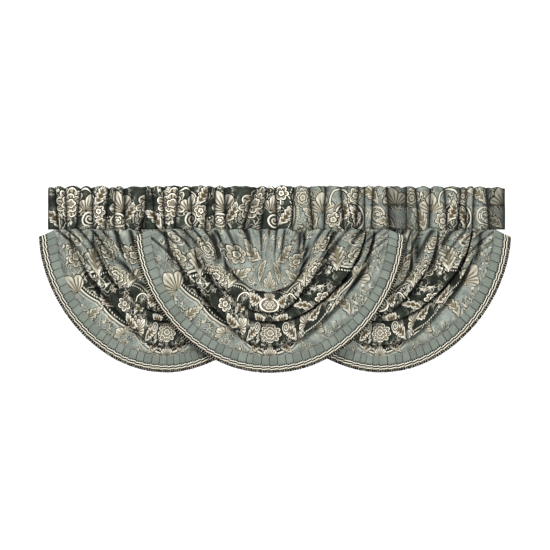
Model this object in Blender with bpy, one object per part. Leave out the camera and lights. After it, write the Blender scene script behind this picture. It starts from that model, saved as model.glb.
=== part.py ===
"""Three overlapping waterfall swag valances, as they hang together in one window.

Metres, +Z up, +X to the right of someone who faces the drape, -Y towards them. The origin is the
middle of the top edge of the middle valance, in the plane of its header. Each valance is a gathered
heading with a rod pocket, a swag of cloth that falls in nested bows, a knife-pleated frill on the
swag's round hem, and a braid on the frill's outer edge. The middle valance hangs in front, and the
two side ones hang one plane behind it and meet behind its middle.
"""

import math
from collections import namedtuple

import bmesh
import bpy

HEADER_RISE = 0.090  # from the stitched row above the rod pocket to the top edge
POCKET_FALL = 0.108  # from that stitched row down to the swag's seam
SEAM_Z = -(HEADER_RISE + POCKET_FALL)
HEM_REACH = 0.532  # from a full valance's centre to the swag cloth's hem, at the seam
HEM_DROP = 0.572  # from the seam to the swag cloth's hem at the centre
FRILL_WIDTH = 0.042
BRAID_WIDTH = 0.034
BORDER_SLOPE = 0.036  # how much lower the border's ends are outside than inside
SLOPE_POWER = 8  # how near its ends the border takes on that slope
CLOTH = 0.002
GAP = 0.0003  # between pieces that are sewn together
FOLD_START = 0.022  # how far below the seam a fold reaches most of its depth

PUFF_DEPTH = 0.012  # how much further forward and back a full gather stands
POCKET_HALF = 0.012  # half the pocket's depth at the creases between gathers
HEADER_WAVE = 0.009
CREASE_DIP = 0.006  # how much lower the top edge is at a crease
CREST_SHARES = (0.28, 0.72)  # where along a gather its full crest begins and ends
POCKET_LEVELS = (0.24, 0.55, 0.84)  # the shares of the pocket's height where its walls bend
POCKET_ROUNDNESS = 0.45  # a lower power makes the pocket's walls fuller
HEADER_LEVELS = ((0.5, 0.8), (1.0, 1.0))  # shares of the header's rise, and of its full wave

PLEATS = 48  # knife pleats round one frill
PLEAT_OVERLAP = 0.04  # the share of a pleat that lies under the one before it
PLEAT_STEP = 0.0025
FRILL_FRONT = 0.011  # how far the frill and the braid lie in front of the valance's plane
FRILL_BACK = 0.006
BRAID_FRONT = 0.0115
BRAID_BACK = 0.0065
ROUND_BOTTOM = 0.45  # the share of the way up the bow over which its bottom is rounded
FLANK = 0.6  # the share of the way up the bow where a fold's side depth is told
SWAG_COLUMNS = PLEATS // 2

# The plane is how far behind the middle valance each one hangs. Each half of a valance reaches so
# far from its centre, its heading so far, and its hem's bow is so square. The halves behind the
# middle valance are gathered closer, and their bows are squarer.
Valance = namedtuple(
    "Valance",
    "name centre plane reach_left reach_right heading_left heading_right square_left square_right",
)
VALANCES = (
    Valance("left", -0.464, 0.0468, 0.580, 0.460, 0.539, 0.412, 1.93, 2.40),
    Valance("middle", 0.0, 0.0, 0.612, 0.612, 0.563, 0.617, 1.93, 1.93),
    Valance("right", 0.495, 0.0475, 0.491, 0.594, 0.443, 0.567, 2.30, 1.93),
)

# One row for each gather of a heading, from left to right: the crease where it ends, from -1 at
# the heading's left end to 1 at its right end, and how full it stands.
Gather = namedtuple("Gather", "end fullness")
GATHERS = (
    Gather(-0.848, 0.80),
    Gather(-0.744, 1.00),
    Gather(-0.628, 0.85),
    Gather(-0.504, 1.00),
    Gather(-0.360, 0.90),
    Gather(-0.160, 0.70),
    Gather(0.044, 0.75),
    Gather(0.168, 1.00),
    Gather(0.299, 0.95),
    Gather(0.401, 0.85),
    Gather(0.526, 1.00),
    Gather(0.635, 0.90),
    Gather(0.745, 1.00),
    Gather(0.860, 0.80),
    Gather(1.000, 0.45),
)

# One row for each line of the drape, from the seam out to the hem: how far it meets the seam left
# and right of the centre, how far it drops, how square its bow is each side, and how far it stands
# forward on the left flank, at the bottom and on the right flank.
Line = namedtuple(
    "Line", "name left right drop bow_left bow_right out_left out_bottom out_right"
)
LINES = (
    Line("seam", 0.095, 0.055, 0.000, 2.00, 2.00, 0.003, 0.003, 0.003),
    Line("apron_top", 0.115, 0.075, 0.100, 2.00, 2.20, 0.012, 0.014, 0.012),
    Line("apron", 0.150, 0.092, 0.195, 2.00, 2.60, 0.018, 0.020, 0.016),
    Line("crest_5", 0.195, 0.120, 0.255, 2.00, 2.90, 0.030, 0.032, 0.032),
    Line("lip_5", 0.220, 0.142, 0.283, 2.00, 2.80, 0.024, 0.028, 0.024),
    Line("crease_4", 0.240, 0.165, 0.276, 2.00, 2.60, 0.010, 0.012, 0.006),
    Line("crest_4", 0.300, 0.238, 0.340, 1.90, 1.60, 0.034, 0.040, 0.036),
    Line("lip_4", 0.325, 0.262, 0.376, 1.75, 1.60, 0.028, 0.034, 0.026),
    Line("crease_3", 0.340, 0.284, 0.366, 1.65, 1.60, 0.008, 0.012, 0.008),
    Line("crest_3", 0.346, 0.365, 0.398, 1.60, 1.70, 0.012, 0.024, 0.040),
    Line("lip_3", 0.352, 0.410, 0.416, 1.60, 1.72, 0.010, 0.020, 0.034),
    Line("crease_2", 0.358, 0.430, 0.410, 1.60, 1.70, 0.004, 0.008, 0.006),
    Line("crest_2", 0.414, 0.446, 0.482, 1.45, 1.60, 0.036, 0.044, 0.034),
    Line("lip_2", 0.452, 0.456, 0.524, 1.42, 1.60, 0.026, 0.034, 0.026),
    Line("crease_1", 0.474, 0.464, 0.514, 1.40, 1.60, 0.006, 0.004, 0.004),
    Line("crest_1", 0.506, 0.508, 0.550, 1.72, 1.75, 0.024, 0.018, 0.024),
    Line("hem", HEM_REACH, HEM_REACH, HEM_DROP, 1.93, 1.93, 0.010, 0.008, 0.010),
)


def smoothstep(value):
    value = min(1.0, max(0.0, value))
    return value * value * (3 - 2 * value)


def power_bow(reach, drop, squareness, turn):
    """A point of a bow, out from the centre and down: turn is 0 at the bottom and 1 at the seam.

    Near the bottom every bow is round, whatever its squareness on the flanks.
    """
    angle = abs(turn) * math.pi / 2
    power = 1 + (2 / squareness - 1) * smoothstep(abs(turn) / ROUND_BOTTOM)
    across = reach * math.sin(angle) ** power
    down = drop * max(0.0, math.cos(angle)) ** power
    return across, down


def half_form(valance, side):
    """How wide one half of a valance is beside a full one, and how square its bow is."""
    reach, square = valance.reach_left, valance.square_left
    if side > 0:
        reach, square = valance.reach_right, valance.square_right
    return (reach - FRILL_WIDTH - BRAID_WIDTH) / HEM_REACH, square


def line_point(valance, line, turn):
    """Where a line of the drape passes, turn running from -1 at the left seam to 1 at the right."""
    side = 1 if turn > 0 else -1
    width, square = half_form(valance, side)
    reach, bow = (line.right, line.bow_right) if side > 0 else (line.left, line.bow_left)
    across, down = power_bow(reach * width, line.drop, bow * square / LINES[-1].bow_left, turn)
    flank = line.out_right if side > 0 else line.out_left
    share = smoothstep(abs(turn) / FLANK)
    out = line.out_bottom * (1 - share) + flank * share
    out = LINES[0].out_bottom + (out - LINES[0].out_bottom) * (1 - math.exp(-down / FOLD_START))
    return valance.centre + side * across, valance.plane - out, SEAM_Z - GAP - down


def border_curve(valance, turn, width):
    """A point of the border, width outside the swag's hem, with the valance's narrowing kept."""
    side = 1 if turn > 0 else -1
    share, square = half_form(valance, side)
    across, down = power_bow(HEM_REACH * share + width, HEM_DROP + width, square, turn)
    full = FRILL_WIDTH + BRAID_WIDTH
    down += BORDER_SLOPE * width / full * abs(turn) ** SLOPE_POWER
    return valance.centre + side * across, SEAM_Z - GAP - down


def on_chord(valance, turn, width, step):
    """A border point on the straight run between the swag's columns, so that edges stay parallel."""
    place = (turn + 1) / step
    first = min(math.floor(place + 1e-6), round(2 / step) - 1)
    share = place - first
    start = border_curve(valance, first * step - 1, width)
    end = border_curve(valance, (first + 1) * step - 1, width)
    return tuple(a + (b - a) * share for a, b in zip(start, end))


def new_object(name, bm, material):
    mesh = bpy.data.meshes.new(name)
    bmesh.ops.recalc_face_normals(bm, faces=bm.faces)
    bm.to_mesh(mesh)
    bm.free()
    mesh.materials.append(material)
    part = bpy.data.objects.new(name, mesh)
    bpy.context.scene.collection.objects.link(part)
    return part


def new_material(name, colour, roughness):
    material = bpy.data.materials.new(name)
    material.use_nodes = True
    shader = material.node_tree.nodes["Principled BSDF"]
    shader.inputs["Base Color"].default_value = (*colour, 1.0)
    shader.inputs["Roughness"].default_value = roughness
    shader.inputs["Metallic"].default_value = 0.0
    return material


def swag(valance, material):
    """The draped cloth: a sheet through the lines of the drape, thickened to the back."""
    bm = bmesh.new()
    columns = SWAG_COLUMNS
    rows = [
        [bm.verts.new(line_point(valance, line, 2 * c / columns - 1)) for c in range(columns + 1)]
        for line in LINES
    ]
    for upper, lower in zip(rows, rows[1:]):
        for c in range(columns):
            bm.faces.new((upper[c], lower[c], lower[c + 1], upper[c + 1]))
    mesh_object = new_object("swag_" + valance.name, bm, material)
    mesh = mesh_object.data
    if sum(face.normal.y * face.area for face in mesh.polygons) > 0:
        mesh.flip_normals()
    thickness = mesh_object.modifiers.new("cloth", "SOLIDIFY")
    thickness.thickness = CLOTH
    thickness.offset = -1
    thickness.use_even_offset = True
    return mesh_object


def band(valance, name, material, inner, outer, sections):
    """A border strip: for each section its turn, its front depth and its back depth."""
    bm = bmesh.new()
    rings = []
    step = 2 / SWAG_COLUMNS
    for turn, front, back in sections:
        near = on_chord(valance, turn, inner, step)
        far = on_chord(valance, turn, outer, step)
        corners = ((near, front), (far, front), (far, back), (near, back))
        rings.append([bm.verts.new((x, valance.plane - out, z)) for (x, z), out in corners])
    for ring, following in zip(rings, rings[1:]):
        for k in range(4):
            after = (k + 1) % 4
            bm.faces.new((ring[k], ring[after], following[after], following[k]))
    bm.faces.new(rings[0])
    bm.faces.new(reversed(rings[-1]))
    return new_object(name + "_" + valance.name, bm, material)


def frill(valance, material):
    """The knife-pleated ribbon: each pleat is thick at its overlap and thins to the next one."""
    sections = []
    pitch = 2 / PLEATS
    for pleat in range(PLEATS):
        start = pleat * pitch - 1
        first = start if pleat == 0 else start + PLEAT_OVERLAP * pitch
        sections.append((first, FRILL_FRONT, FRILL_BACK))
        sections.append((start + pitch, FRILL_FRONT - PLEAT_STEP, FRILL_BACK))
    return band(valance, "frill", material, GAP, FRILL_WIDTH, sections)


def braid(valance, material):
    turns = [2 * k / SWAG_COLUMNS - 1 for k in range(SWAG_COLUMNS + 1)]
    sections = [(turn, BRAID_FRONT, BRAID_BACK) for turn in turns]
    inner = FRILL_WIDTH + GAP
    return band(valance, "braid", material, inner, FRILL_WIDTH + BRAID_WIDTH, sections)


def heading_place(valance, share):
    """The x of a place along a heading, share running from -1 at its left end to 1 at its right."""
    return valance.centre + share * (valance.heading_right if share > 0 else valance.heading_left)


def heading_section(valance, x, bulge):
    """The heading's outer and inner outline at one place, each from the seam up its front."""
    seam_half = CLOTH
    stitch_z = -HEADER_RISE
    walls = []
    for level in POCKET_LEVELS:
        full = math.sin(math.pi * level) ** POCKET_ROUNDNESS
        half = seam_half + full * (POCKET_HALF + PUFF_DEPTH * bulge - seam_half)
        walls.append((half, SEAM_Z + POCKET_FALL * level))
    header = []
    for level, share in HEADER_LEVELS:
        wave = HEADER_WAVE * (2 * bulge - 1) * share
        z = stitch_z * (1 - level) - CREASE_DIP * (1 - bulge) * (level == 1.0)
        header.append((wave, z))
    outer = [(-seam_half, SEAM_Z), *((-half, z) for half, z in walls), (-seam_half, stitch_z)]
    outer += [(-seam_half - wave, z) for wave, z in header]
    outer += [(seam_half - wave, z) for wave, z in reversed(header)]
    outer += [(seam_half, stitch_z), *reversed(walls), (seam_half, SEAM_Z)]
    inner_half = [(half - CLOTH, z) for half, z in walls]
    inner = [(0.0, SEAM_Z + 2 * CLOTH), *((-half, z) for half, z in inner_half)]
    inner += [(0.0, stitch_z - 2 * CLOTH), *reversed(inner_half)]
    place = valance.plane
    return [(x, place + y, z) for y, z in outer], [(x, place + y, z) for y, z in inner]


def heading(valance, material):
    """The gathered heading: a header above a rod pocket that is open at both ends."""
    bm = bmesh.new()
    stations = [(-1.0, 0.0)]
    for gather in GATHERS:
        start = stations[-1][0]
        crests = [start + (gather.end - start) * share for share in CREST_SHARES]
        stations += [(crest, gather.fullness) for crest in crests]
        stations.append((gather.end, 0.0))
    rings = []
    for share, bulge in stations:
        outer, inner = heading_section(valance, heading_place(valance, share), bulge)
        rings.append(([bm.verts.new(p) for p in outer], [bm.verts.new(p) for p in inner]))
    for ring, following in zip(rings, rings[1:]):
        for loop, after in zip(ring, following):
            for k in range(len(loop)):
                nxt = (k + 1) % len(loop)
                bm.faces.new((loop[k], loop[nxt], after[nxt], after[k]))
    for outer, inner in (rings[0], rings[-1]):
        close_end(bm, outer, inner)
    return new_object("heading_" + valance.name, bm, material)


def close_end(bm, outer, inner):
    """Fills the cloth's own section at one end of the heading, and leaves the pocket open."""
    for k in range(4):
        bm.faces.new((outer[k], outer[k + 1], inner[k + 1], inner[k]))
        bm.faces.new((outer[13 - k], outer[12 - k], inner[(7 - k) % 8], inner[(8 - k) % 8]))
    bm.faces.new((outer[0], outer[13], inner[0]))
    bm.faces.new((outer[4], outer[9], inner[4]))
    bm.faces.new((outer[4], outer[5], outer[8], outer[9]))
    bm.faces.new((outer[5], outer[6], outer[7], outer[8]))


def main():
    for leftover in list(bpy.data.objects):
        bpy.data.objects.remove(leftover)
    damask = new_material("damask", (0.33, 0.35, 0.30), 0.62)
    heading_damask = new_material("heading_damask", (0.22, 0.24, 0.20), 0.62)
    ribbon = new_material("ribbon", (0.32, 0.37, 0.34), 0.55)
    gimp = new_material("gimp", (0.40, 0.37, 0.28), 0.70)
    for valance in VALANCES:
        heading(valance, heading_damask)
        swag(valance, damask)
        frill(valance, ribbon)
        braid(valance, gimp)


main()
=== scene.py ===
"""Three overlapping waterfall swag valances in damask jacquard, as they hang in one window.

Metres, +Z up, +X to the right of someone who faces the drape, -Y towards them. The cloth follows
the same lines of drape as the solids that it dresses, with finer folds between them.
"""

import math
from collections import namedtuple

import bmesh
import bpy
import numpy as np
from mathutils import Matrix, Vector


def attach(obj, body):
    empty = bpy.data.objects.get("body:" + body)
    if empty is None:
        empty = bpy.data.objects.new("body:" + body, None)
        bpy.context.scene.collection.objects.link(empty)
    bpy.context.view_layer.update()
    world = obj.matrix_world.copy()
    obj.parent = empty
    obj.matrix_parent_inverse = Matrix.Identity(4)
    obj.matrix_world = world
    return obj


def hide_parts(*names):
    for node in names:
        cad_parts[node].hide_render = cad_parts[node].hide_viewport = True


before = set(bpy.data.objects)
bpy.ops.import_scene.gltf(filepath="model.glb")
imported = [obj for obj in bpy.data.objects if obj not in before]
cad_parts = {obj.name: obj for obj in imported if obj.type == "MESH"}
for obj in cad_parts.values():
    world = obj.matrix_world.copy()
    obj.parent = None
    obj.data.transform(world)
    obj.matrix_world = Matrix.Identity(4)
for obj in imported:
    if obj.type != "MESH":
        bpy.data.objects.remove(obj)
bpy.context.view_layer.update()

# Sizes of a full valance
SEAM_Z = -0.198
STITCH_Z = -0.090
HEM_REACH = 0.532
HEM_DROP = 0.572
FRILL_WIDTH = 0.042
BORDER_WIDTH = 0.076
BORDER_SLOPE = 0.036
SLOPE_POWER = 8
HEM_SQUARENESS = 1.93
ROUND_BOTTOM = 0.45
FLANK = 0.6
FOLD_START = 0.022
SEAM_GATHER = 0.0045
GAP = 0.0003

# Sizes of the heading
PUFF_CREST = 0.0270
POCKET_CREASE = 0.0080
HEADER_WAVE = 0.009
SEAM_STAND = 0.0045  # how far the front of the pocket stands out at the seam, over the swag's edge
SEAM_LAP = 0.0020  # how far it laps over that edge
CREASE_DIP = 0.011

# Sizes of the trimming
PLEATS = 48
PLEAT_RETURN = 0.35  # the share of a pleat's pitch that is folded back under it
PLEAT_STAND = 0.0040  # how far a pleat's folded edge stands off the next one
PLEAT_STAIR = 0.0044  # how much further out a pleat's folded edge reaches than its far side
FRILL_ROWS = 6
FRILL_OUT = 0.0060
CORD_OUT = 0.0112
CORD_STEP = 0.0034
BRUSH_LENGTH = 0.0145
TUFTS = 1700

# How thick each kind of cloth is
CLOTH = 0.0012
RIBBON = 0.0006
BRAID = 0.0010

# The plane is how far behind the middle valance each one hangs, and the seed sets its small folds.
Valance = namedtuple(
    "Valance",
    "name centre plane reach_left reach_right heading_left heading_right square_left square_right"
    " seed",
)
VALANCES = (
    Valance("left", -0.464, 0.0468, 0.580, 0.460, 0.539, 0.412, 1.93, 2.40, 11),
    Valance("middle", 0.0, 0.0, 0.612, 0.612, 0.563, 0.617, 1.93, 1.93, 5),
    Valance("right", 0.495, 0.0475, 0.491, 0.594, 0.443, 0.567, 2.30, 1.93, 23),
)

# One row for each gather of a heading: the crease where it ends, from -1 at the heading's left end
# to 1 at its right end, how full it stands, and how far its crease leans.
Gather = namedtuple("Gather", "end fullness lean")
GATHERS = [Gather(*row) for row in (
    (-0.93, 0.75, -0.04),
    (-0.848, 0.85, -0.02),
    (-0.744, 1.0, 0.036),
    (-0.628, 0.85, -0.022),
    (-0.504, 1.0, 0.03),
    (-0.44, 0.6, 0.012),
    (-0.36, 0.9, -0.016),
    (-0.16, 0.8, 0.11),
    (-0.045, 0.7, 0.05),
    (0.044, 0.85, -0.02),
    (0.168, 1.0, 0.018),
    (0.299, 0.95, -0.03),
    (0.401, 0.85, 0.016),
    (0.526, 1.0, -0.024),
    (0.635, 0.9, 0.028),
    (0.69, 0.6, 0.0),
    (0.745, 0.95, 0.02),
    (0.86, 0.85, -0.024),
    (1.0, 0.45, 0.0),
)]

# One row for each line of the drape, from the seam out to the hem: how far it meets the seam left
# and right of the centre, how far it drops, how square its bow is each side, and how far it stands
# forward on the left flank, at the bottom and on the right flank.
Line = namedtuple("Line", "name left right drop bow_left bow_right out_left out_bottom out_right")
LINES = [Line(*row) for row in (
    ("seam", 0.095, 0.055, 0.0, 2.0, 2.0, 0.003, 0.003, 0.003),
    ("apron_top", 0.115, 0.075, 0.1, 2.0, 2.2, 0.012, 0.014, 0.012),
    ("apron", 0.15, 0.092, 0.195, 2.0, 2.6, 0.018, 0.02, 0.016),
    ("crest_5", 0.195, 0.12, 0.255, 2.0, 2.9, 0.03, 0.032, 0.032),
    ("lip_5", 0.22, 0.142, 0.283, 2.0, 2.8, 0.024, 0.028, 0.024),
    ("crease_4", 0.24, 0.165, 0.276, 2.0, 2.6, 0.01, 0.012, 0.006),
    ("crest_4", 0.3, 0.238, 0.34, 1.9, 1.6, 0.034, 0.04, 0.036),
    ("lip_4", 0.325, 0.262, 0.376, 1.75, 1.6, 0.028, 0.034, 0.026),
    ("crease_3", 0.34, 0.284, 0.366, 1.65, 1.6, 0.008, 0.012, 0.008),
    ("crest_3", 0.346, 0.365, 0.398, 1.6, 1.7, 0.012, 0.024, 0.04),
    ("lip_3", 0.352, 0.41, 0.416, 1.6, 1.72, 0.01, 0.02, 0.034),
    ("crease_2", 0.358, 0.43, 0.41, 1.6, 1.7, 0.004, 0.008, 0.006),
    ("crest_2", 0.414, 0.446, 0.482, 1.45, 1.6, 0.036, 0.044, 0.034),
    ("lip_2", 0.452, 0.456, 0.524, 1.42, 1.6, 0.026, 0.034, 0.026),
    ("crease_1", 0.474, 0.464, 0.514, 1.4, 1.6, 0.006, 0.004, 0.004),
    ("crest_1", 0.506, 0.508, 0.55, 1.72, 1.75, 0.024, 0.018, 0.024),
    ("hem", HEM_REACH, HEM_REACH, HEM_DROP, 1.93, 1.93, 0.01, 0.008, 0.01),
)]


# Colours


def dyed(red, green, blue):
    """A colour told in everyday values from 0 to 255, as light for the shader."""
    return tuple(((value / 255 + 0.055) / 1.055) ** 2.4 for value in (red, green, blue)) + (1.0,)


SKY_GROUND = dyed(163, 171, 164)
SKY_SHADE = dyed(110, 119, 113)
FOREST_GROUND = dyed(80, 89, 79)
FOREST_SHADE = dyed(30, 34, 28)
CREAM = dyed(250, 246, 230)
TAN = dyed(96, 83, 58)
BEIGE = dyed(218, 214, 198)
KHAKI = dyed(130, 124, 104)
UMBER = dyed(54, 52, 40)
INK = dyed(12, 12, 9)
# near-black of the shade painted into folds, creases and tucks
PAINTED_FOLD_SHADE = dyed(14, 15, 12)
SAGE_RIBBON = dyed(146, 153, 144)
SAGE_SHADE = dyed(116, 123, 115)
PAINT = dyed(244, 244, 243)


# Pattern arithmetic

SOFT_EDGE = 0.0008  # half the width of a pattern's soft edge, in metres


def plug(tree, value, slot):
    """Feeds a node's slot with a field, with another node's socket or with a fixed value."""
    if isinstance(value, Field):
        value = value.socket
    if isinstance(value, bpy.types.NodeSocket):
        tree.links.new(value, slot)
    else:
        slot.default_value = value


def math_method(operation, swapped=False):
    """A method of a field that makes one math node of it and what it is given."""

    def method(self, *others):
        node = self.tree.nodes.new("ShaderNodeMath")
        node.operation = operation
        for value, slot in zip((*others, self) if swapped else (self, *others), node.inputs):
            plug(self.tree, value, slot)
        return Field(self.tree, node.outputs[0])

    return method


class Field:
    """A value that varies over the cloth, drawn with the material's own math nodes."""

    def __init__(self, tree, socket):
        self.tree = tree
        self.socket = socket

    __add__ = __radd__ = math_method("ADD")
    __sub__ = math_method("SUBTRACT")
    __rsub__ = math_method("SUBTRACT", swapped=True)
    __mul__ = __rmul__ = math_method("MULTIPLY")
    __truediv__ = math_method("DIVIDE")
    __rtruediv__ = math_method("DIVIDE", swapped=True)
    __abs__ = math_method("ABSOLUTE")
    sine = math_method("SINE")
    cosine = math_method("COSINE")
    root = math_method("SQRT")
    power = math_method("POWER")
    floor = math_method("FLOOR")
    part = math_method("FRACT")  # what is left of the value past its whole number
    angle = math_method("ARCTAN2")
    lesser = math_method("MINIMUM")
    greater = math_method("MAXIMUM")

    def sine_of_turns(self, turns):
        return (self * (math.tau * turns)).sine()

    def below(self, limit, soft=SOFT_EDGE):
        """1 where the value is under the limit and 0 over it, over a soft step."""
        node = self.tree.nodes.new("ShaderNodeMapRange")
        node.interpolation_type = "SMOOTHSTEP"
        for name, value in (("Value", self), ("From Min", limit - soft),
                            ("From Max", limit + soft), ("To Min", 1.0), ("To Max", 0.0)):
            plug(self.tree, value, node.inputs[name])
        return Field(self.tree, node.outputs["Result"])

    def above(self, limit, soft=SOFT_EDGE):
        return 1.0 - self.below(limit, soft)


def distance(x, y):
    return (x * x + y * y).root()


def blend_colour(tree, share, under, over):
    """The under colour where the share is 0 and the over colour where it is 1."""
    node = tree.nodes.new("ShaderNodeMix")
    node.data_type = "RGBA"
    for value, slot in zip((share, under, over), (node.inputs[0], node.inputs[6], node.inputs[7])):
        plug(tree, value, slot)
    return node.outputs[2]


def node_group(name, inputs, outputs, draw):
    """A group of nodes, made once and used in many places, with colours and numbers going in."""
    tree = bpy.data.node_groups.get(name)
    if tree:
        return tree
    tree = bpy.data.node_groups.new(name, "ShaderNodeTree")
    for way, labels in (("INPUT", inputs), ("OUTPUT", outputs)):
        for label in labels:
            kind = "NodeSocketColor" if label == "colour" else "NodeSocketFloat"
            tree.interface.new_socket(label, in_out=way, socket_type=kind)
    entry = tree.nodes.new("NodeGroupInput")
    leave = tree.nodes.new("NodeGroupOutput")
    given = [
        slot if label == "colour" else Field(tree, slot)
        for label, slot in zip(inputs, entry.outputs)
    ]
    for result, slot in zip(draw(tree, *given), leave.inputs):
        plug(tree, result, slot)
    return tree


def use_group(tree, group, values):
    """One use of a group: what comes out of it, in its own order."""
    node = tree.nodes.new("ShaderNodeGroup")
    node.node_tree = group
    for value, slot in zip(values, node.inputs):
        plug(tree, value, slot)
    return [slot if slot.type == "RGBA" else Field(tree, slot) for slot in node.outputs]


def cloth_map(tree):
    """Where a place lies on the flat cloth, in metres."""
    flat = tree.nodes.new("ShaderNodeUVMap")
    flat.uv_map = "cloth"
    return flat.outputs["UV"]


def cloth_fields(tree):
    """Metres across and along the flat cloth."""
    split = tree.nodes.new("ShaderNodeSeparateXYZ")
    plug(tree, cloth_map(tree), split.inputs[0])
    return Field(tree, split.outputs["X"]), Field(tree, split.outputs["Y"])


def cloud(tree, scale, detail=3.0):
    """A soft random field from 0 to 1, with lumps about 1 / scale metres wide."""
    noise = tree.nodes.new("ShaderNodeTexNoise")
    plug(tree, scale, noise.inputs["Scale"])
    plug(tree, detail, noise.inputs["Detail"])
    plug(tree, cloth_map(tree), noise.inputs["Vector"])
    return Field(tree, noise.outputs["Fac"])


def new_finish(name, roughness, sheen):
    material = bpy.data.materials.new(name)
    material.use_nodes = True
    shader = material.node_tree.nodes["Principled BSDF"]
    shader.inputs["Roughness"].default_value = roughness
    shader.inputs["Sheen Weight"].default_value = sheen
    shader.inputs["Sheen Roughness"].default_value = 0.4
    shader.inputs["Specular IOR Level"].default_value = 0.15
    return material, material.node_tree, shader


def raise_surface(tree, shader, height, depth):
    bump = tree.nodes.new("ShaderNodeBump")
    bump.inputs["Strength"].default_value = 0.8
    bump.inputs["Distance"].default_value = depth
    plug(tree, height, bump.inputs["Height"])
    tree.links.new(bump.outputs["Normal"], shader.inputs["Normal"])


# Damask motifs. Each is drawn at a size of 1, as three fields: where its body lies, where its dark
# outlines lie, and how light its thread is. Hair is half the width of an outline at that size.


def filled(edge, hair):
    """Where a shape lies whose edge is at 0, and where the dark line along it lies."""
    return edge.below(0, hair / 3), abs(edge - hair * 0.5).below(hair, hair / 3)


# Each ring of a blossom: its radius, its count of petals, how deep they are cut, and their turn.
Ring = namedtuple("Ring", "radius petals cut turn")
PEONY = (Ring(1.0, 9, 0.34, 0.4), Ring(0.66, 7, 0.32, 1.3), Ring(0.34, 5, 0.30, 0.2))
ROSETTE = (Ring(1.0, 6, 0.42, 0.2), Ring(0.42, 5, 0.30, 0.8))


def blossom(x, y, hair, rings):
    """Nested rings of veined petals with light rims."""
    radius = distance(x, y)
    angle = y.angle(x)
    body = ink = light = None
    for ring in rings:
        swing = abs((angle * (ring.petals / 2) + ring.turn).cosine()).power(0.6)
        edge = radius - (swing * ring.cut + (1 - ring.cut)) * ring.radius
        inside, outline = filled(edge, hair)
        rim = edge.above(-2.6 * hair, hair)
        vein = (angle * (ring.petals * 2.5)).sine().above(0.45, 0.3) * (1 - rim)
        tone = rim * 0.70 + 0.30 - vein * 0.35
        outline = outline.greater(vein * 0.45 * inside)
        if body is None:
            body, ink, light = inside, outline, tone
        else:
            ink = (ink * (1 - inside)).greater(outline)
            light = light * (1 - inside) + tone * inside
    return body, ink, light


def peony(x, y, hair):
    return blossom(x, y, hair, PEONY)


def rosette(x, y, hair):
    return blossom(x, y, hair, ROSETTE)


def palmette(x, y, hair):
    """A fan of seven ribs that open upwards from a foot."""
    lifted = y + 0.75
    reach = distance(x, lifted)
    angle = x.angle(lifted)
    swing = abs((angle * 3.2).cosine())
    edge = reach - (swing * 0.26 + 0.74) * (abs(angle) * -0.42 + 1.75)
    open_side = abs(angle).below(1.42, 0.03)
    body, outline = (part * open_side for part in filled(edge, hair))
    gap = (swing * reach).below(hair * 1.8, hair / 2) * body
    rib = (angle * 19.2).cosine()
    groove = rib.below(-0.6, 0.25) * reach.below(1.15, 0.1) * body * 0.6
    ink = outline.greater(gap).greater(groove)
    return body, ink, rib.above(0.2, 0.4) * 0.40 + reach * 0.5 - 0.2


def acanthus(x, y, hair):
    """A toothed leaf that bends as it rises, with a light midrib and dark side veins."""
    bent = abs(x + y * y * 0.34 - 0.12)
    place = y * 0.5 + 0.5
    on_leaf = place.above(0.0, 0.01) * place.below(1.0, 0.01)
    rise = (place * math.pi).sine().greater(0.0).power(0.7)
    tooth = abs((place * (math.pi * 5)).sine()).power(0.6)
    edge = bent - rise * (tooth * 0.22 + 0.26)
    body, outline = (part * on_leaf for part in filled(edge, hair))
    vein = ((y - bent * 1.7) * 17).sine().above(0.55, 0.25)
    midrib = bent.below(hair, hair / 2)
    return body, outline.greater(vein * body * (1 - midrib) * 0.8), edge * 3.4 + 1.15


def volute(x, y, hair):
    """A coiled tendril with a bud in its eye."""
    reach = distance(x, y)
    turn = y.angle(x) / math.tau
    track = abs((reach / 0.46 - turn).part() - 0.5) * 0.46
    within = reach.below(1.0, hair)
    thick = reach * 0.05 + hair * 1.1
    body = ((track - thick).below(0, hair / 3) * within).greater(reach.below(0.16, hair / 3))
    halo = (track - thick - hair).below(0, hair / 3) * within
    ink = halo.greater(reach.below(0.16 + hair, hair / 3)) - body
    return body, ink, reach * 0.25 + 0.55


def medallion(x, y, hair):
    """An oval boss: a light rim round a small rosette."""
    reach = distance(x, y)
    rim = abs(reach - 0.86).below(0.09, hair / 3)
    outline = abs(abs(reach - 0.86) - 0.09 - hair * 0.6).below(hair * 0.6, hair / 3)
    heart, ink, light = rosette(x * 1.7, y * 1.7, hair * 1.7)
    body = reach.below(0.95, hair / 3)
    ink = ink * reach.below(0.7, 0.02)
    light = rim + (1 - rim) * (light * heart + 0.12)
    return body, outline.greater(ink), light


def hoop(x, y, hair):
    """A strap of the upper half of a circle."""
    reach = distance(x, y)
    upper = y.above(-0.3, hair)
    off = abs(reach - 0.9)
    strap = off.below(hair * 1.5, hair / 3) * upper
    ink = off.below(hair * 3, hair / 3) * upper - strap
    return strap, ink, reach * 0.0 + 1.0


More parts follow.
